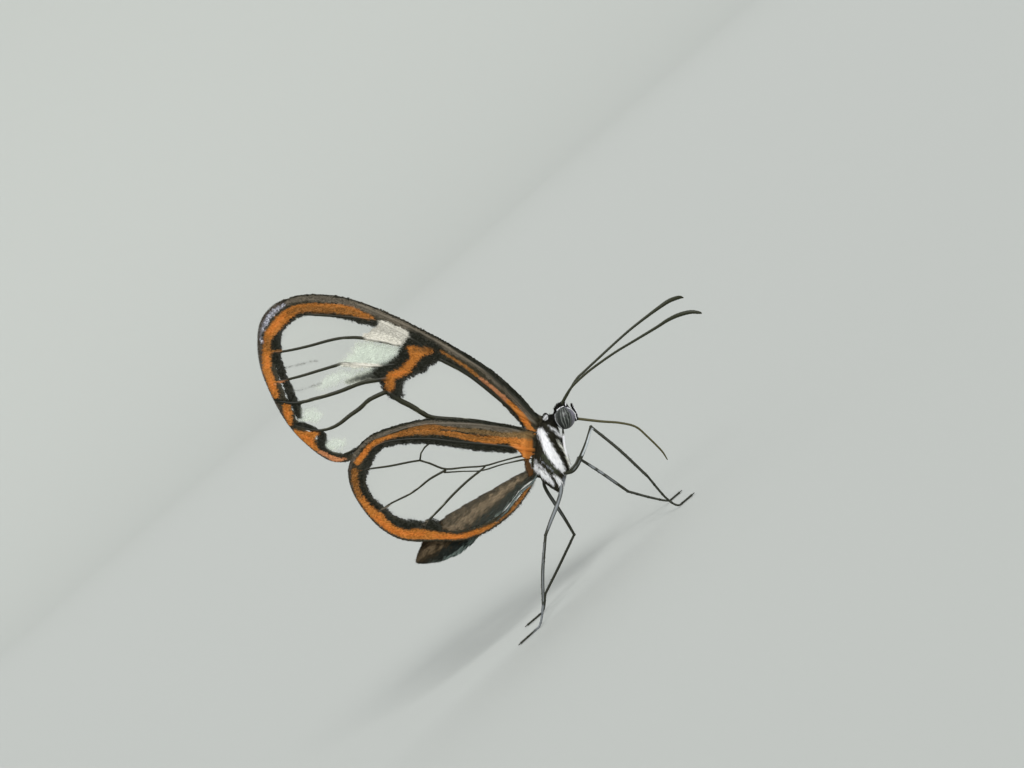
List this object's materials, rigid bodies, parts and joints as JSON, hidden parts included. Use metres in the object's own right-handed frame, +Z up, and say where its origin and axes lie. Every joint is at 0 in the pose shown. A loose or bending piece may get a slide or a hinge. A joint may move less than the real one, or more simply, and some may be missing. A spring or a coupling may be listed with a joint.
{
  "type": "glasswing butterfly model",
  "caption": "Still life-size clear-winged butterfly standing with closed wings, slim body, long club-tipped feelers and uncoiled tongue.",
  "frame": {"origin": "on the floor that the feet stand on, under the middle of the insect's box", "axes": "+X the way the butterfly faces, +Y to its left, +Z up"},
  "size_m": [0.0388, 0.01, 0.0416],
  "materials": {
    "thorax_hair": "matte",
    "abdomen_scales": "matte",
    "head_hair": "matte",
    "eye_facets": "gloss",
    "dark_horn": "satin",
    "pale_scales": "matte",
    "leg_scales": "matte",
    "wing_membrane": "gloss"
  },
  "bodies": {
    "root": {"thorax": "thorax_hair", "abdomen": "abdomen_scales", "head": "head_hair", "eye_left": "eye_facets", "eye_right": "eye_facets", "palp_left": "pale_scales", "palp_right": "pale_scales", "proboscis": "dark_horn", "antenna_left": "dark_horn", "antenna_right": "dark_horn", "leg_fore_left": "leg_scales", "leg_fore_right": "leg_scales", "forewing_left": "wing_membrane", "forewing_right": "wing_membrane", "hindwing_left": "wing_membrane", "hindwing_right": "wing_membrane", "leg_mid_left_femur": "leg_scales", "leg_mid_left_tibia": "leg_scales", "leg_mid_left_tarsus": "leg_scales", "leg_mid_right_femur": "leg_scales", "leg_mid_right_tibia": "leg_scales", "leg_mid_right_tarsus": "leg_scales", "leg_hind_left_femur": "leg_scales", "leg_hind_left_tibia": "leg_scales", "leg_hind_left_tarsus": "leg_scales", "leg_hind_right_femur": "leg_scales", "leg_hind_right_tibia": "leg_scales", "leg_hind_right_tarsus": "leg_scales"}
  },
  "joints": []
}
